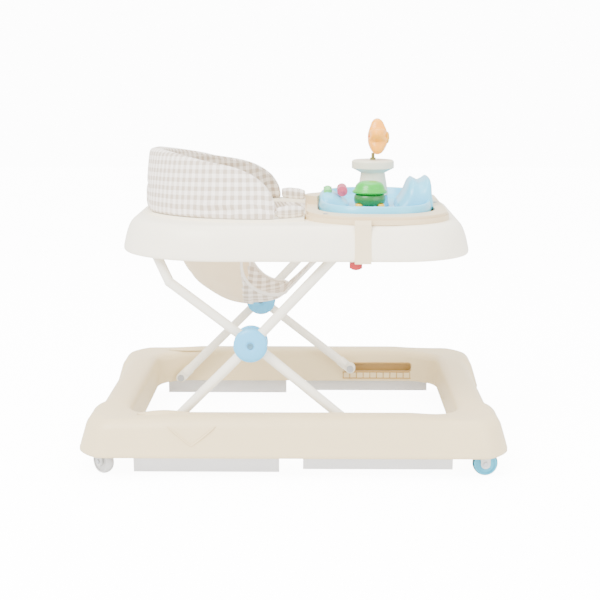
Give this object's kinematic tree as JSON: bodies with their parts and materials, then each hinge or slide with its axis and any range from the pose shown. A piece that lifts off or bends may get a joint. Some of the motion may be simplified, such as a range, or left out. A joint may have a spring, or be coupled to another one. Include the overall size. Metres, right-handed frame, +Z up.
{
  "type": "baby walker",
  "caption": "Height-adjustable baby walker: moulded base ring on swivel casters, crossed tube frame, tray with a fabric seat and a clip-on toy tray.",
  "frame": {"origin": "on the floor, under the centre of the base ring", "axes": "+X forward towards the toy tray, +Y to the seated child's left, +Z up"},
  "size_m": [0.69, 0.6, 0.553],
  "materials": {
    "base_plastic": "satin moulded",
    "tray_plastic": "satin moulded",
    "white_paint": "gloss powder coat",
    "zinc_steel": "zinc plated",
    "blue_cap": "gloss",
    "strip_rubber": "matt",
    "wheel_blue": "gloss",
    "tyre_teal": "matt",
    "wheel_grey": "gloss",
    "fork_nylon": "matt",
    "nylon": "matt",
    "knob_red": "gloss",
    "gingham": "woven check",
    "lining": "plain weave",
    "play_beige": "satin moulded",
    "clip_beige": "satin moulded",
    "console_blue": "gloss",
    "key_green": "gloss",
    "bead_pink": "gloss",
    "table_grey": "satin moulded",
    "flower_orange": "gloss",
    "stem_olive": "matt",
    "turtle_green": "gloss",
    "feet_yellow": "gloss"
  },
  "bodies": {
    "base": {"base_shell": "base_plastic", "stopper_rear_left": "strip_rubber", "stopper_rear_right": "strip_rubber", "stopper_front_left": "strip_rubber", "stopper_front_right": "strip_rubber", "pivot_bolts": "zinc_steel", "pivot_nuts": "zinc_steel"},
    "caster_fl": {"caster_stem_fl": "zinc_steel", "caster_fork_fl": "fork_nylon", "caster_axle_fl": "zinc_steel"},
    "wheel_fl": {"caster_wheel_fl": "wheel_blue", "caster_tyre_fl": "tyre_teal"},
    "caster_fr": {"caster_stem_fr": "zinc_steel", "caster_fork_fr": "fork_nylon", "caster_axle_fr": "zinc_steel"},
    "wheel_fr": {"caster_wheel_fr": "wheel_blue", "caster_tyre_fr": "tyre_teal"},
    "caster_rl": {"caster_stem_rl": "zinc_steel", "caster_fork_rl": "wheel_grey", "caster_axle_rl": "zinc_steel"},
    "wheel_rl": {"caster_wheel_rl": "wheel_grey", "caster_tyre_rl": "strip_rubber"},
    "caster_rr": {"caster_stem_rr": "zinc_steel", "caster_fork_rr": "wheel_grey", "caster_axle_rr": "zinc_steel"},
    "wheel_rr": {"caster_wheel_rr": "wheel_grey", "caster_tyre_rr": "strip_rubber"},
    "front_frame": {"frame_front_tube": "white_paint", "cap_outer_left": "blue_cap", "cap_outer_right": "blue_cap", "cross_rivets": "zinc_steel"},
    "rear_frame": {"frame_rear_tube": "white_paint", "cap_inner_left": "blue_cap", "cap_inner_right": "blue_cap", "slider_bolts": "zinc_steel", "slider_rollers": "nylon"},
    "tray": {"tray_body": "tray_plastic", "rear_saddles": "nylon", "front_tracks": "nylon", "seat_ring": "tray_plastic", "seat_backrest": "gingham", "seat_collar": "gingham", "seat_pouch": "lining", "seat_pegs": "nylon", "play_tray": "play_beige", "play_clips": "clip_beige", "toy_console": "console_blue", "tray_screws": "zinc_steel"},
    "lock_left": {"lock_knob_left": "knob_red"},
    "lock_right": {"lock_knob_right": "knob_red"},
    "key_left": {"toy_key_left": "key_green"},
    "key_middle": {"toy_key_middle": "key_green"},
    "key_right": {"toy_key_right": "key_green"},
    "dial": {"toy_dial": "bead_pink"},
    "table": {"round_table": "table_grey"},
    "flower": {"flower_stem": "stem_olive", "flower_head": "flower_orange"},
    "turtle": {"turtle_shell": "turtle_green", "turtle_feet": "feet_yellow"}
  },
  "joints": [
    {"name": "fold", "type": "hinge", "parent": "base", "child": "front_frame", "pos_m": [-0.22599, 0, 0.043], "axis": [0, 1, 0], "range_deg": [0, 33]},
    {"name": "cross", "type": "hinge", "parent": "front_frame", "child": "rear_frame", "pos_m": [-0.06898, 0, 0.2005], "axis": [0, -1, 0], "range_deg": [0, 64.35]},
    {"name": "tray_level", "type": "hinge", "parent": "rear_frame", "child": "tray", "pos_m": [-0.22999, 0, 0.357], "axis": [0, 1, 0], "range_deg": [0, 31.35]},
    {"name": "swivel_fl", "type": "hinge", "parent": "base", "child": "caster_fl", "pos_m": [0.298, 0.269, 0.0202], "axis": [0, 0, 1], "continuous": true},
    {"name": "spin_fl", "type": "hinge", "parent": "caster_fl", "child": "wheel_fl", "pos_m": [0.306, 0.269, 0.0202], "axis": [0, 1, 0], "continuous": true},
    {"name": "swivel_fr", "type": "hinge", "parent": "base", "child": "caster_fr", "pos_m": [0.298, -0.269, 0.0202], "axis": [0, 0, 1], "continuous": true},
    {"name": "spin_fr", "type": "hinge", "parent": "caster_fr", "child": "wheel_fr", "pos_m": [0.306, -0.269, 0.0202], "axis": [0, 1, 0], "continuous": true},
    {"name": "swivel_rl", "type": "hinge", "parent": "base", "child": "caster_rl", "pos_m": [-0.298, 0.269, 0.0202], "axis": [0, 0, 1], "continuous": true},
    {"name": "spin_rl", "type": "hinge", "parent": "caster_rl", "child": "wheel_rl", "pos_m": [-0.30366, 0.26334, 0.0202], "axis": [0.7071, -0.7071, 0], "continuous": true},
    {"name": "swivel_rr", "type": "hinge", "parent": "base", "child": "caster_rr", "pos_m": [-0.298, -0.269, 0.0202], "axis": [0, 0, 1], "continuous": true},
    {"name": "spin_rr", "type": "hinge", "parent": "caster_rr", "child": "wheel_rr", "pos_m": [-0.30366, -0.26334, 0.0202], "axis": [-0.7071, -0.7071, 0], "continuous": true},
    {"name": "lock_pull_left", "type": "slide", "parent": "tray", "child": "lock_left", "axis": [0, 0, -1], "range_m": [0, 0.006], "stiffness_N_per_m": 600},
    {"name": "lock_pull_right", "type": "slide", "parent": "tray", "child": "lock_right", "axis": [0, 0, -1], "range_m": [0, 0.006], "stiffness_N_per_m": 600},
    {"name": "key_press_left", "type": "slide", "parent": "tray", "child": "key_left", "axis": [0, 0, -1], "range_m": [0, 0.003], "stiffness_N_per_m": 400},
    {"name": "key_press_middle", "type": "slide", "parent": "tray", "child": "key_middle", "axis": [0, 0, -1], "range_m": [0, 0.003], "stiffness_N_per_m": 400},
    {"name": "key_press_right", "type": "slide", "parent": "tray", "child": "key_right", "axis": [0, 0, -1], "range_m": [0, 0.003], "stiffness_N_per_m": 400},
    {"name": "dial_spin", "type": "hinge", "parent": "tray", "child": "dial", "pos_m": [0.08101, 0, 0.43], "axis": [0, 1, 0], "continuous": true},
    {"name": "table_spin", "type": "hinge", "parent": "tray", "child": "table", "pos_m": [0.13401, 0, 0.482], "axis": [0, 0, 1], "continuous": true},
    {"name": "flower_spin", "type": "hinge", "parent": "table", "child": "flower", "pos_m": [0.13401, 0, 0.482], "axis": [0, 0, 1], "continuous": true},
    {"name": "turtle_spin", "type": "hinge", "parent": "tray", "child": "turtle", "pos_m": [0.12501, -0.105, 0.41], "axis": [0, 0, 1], "continuous": true}
  ],
  "couplings": [
    {"joint": "cross", "follows": "fold", "ratio": 1.95},
    {"joint": "tray_level", "follows": "fold", "ratio": 0.95}
  ]
}
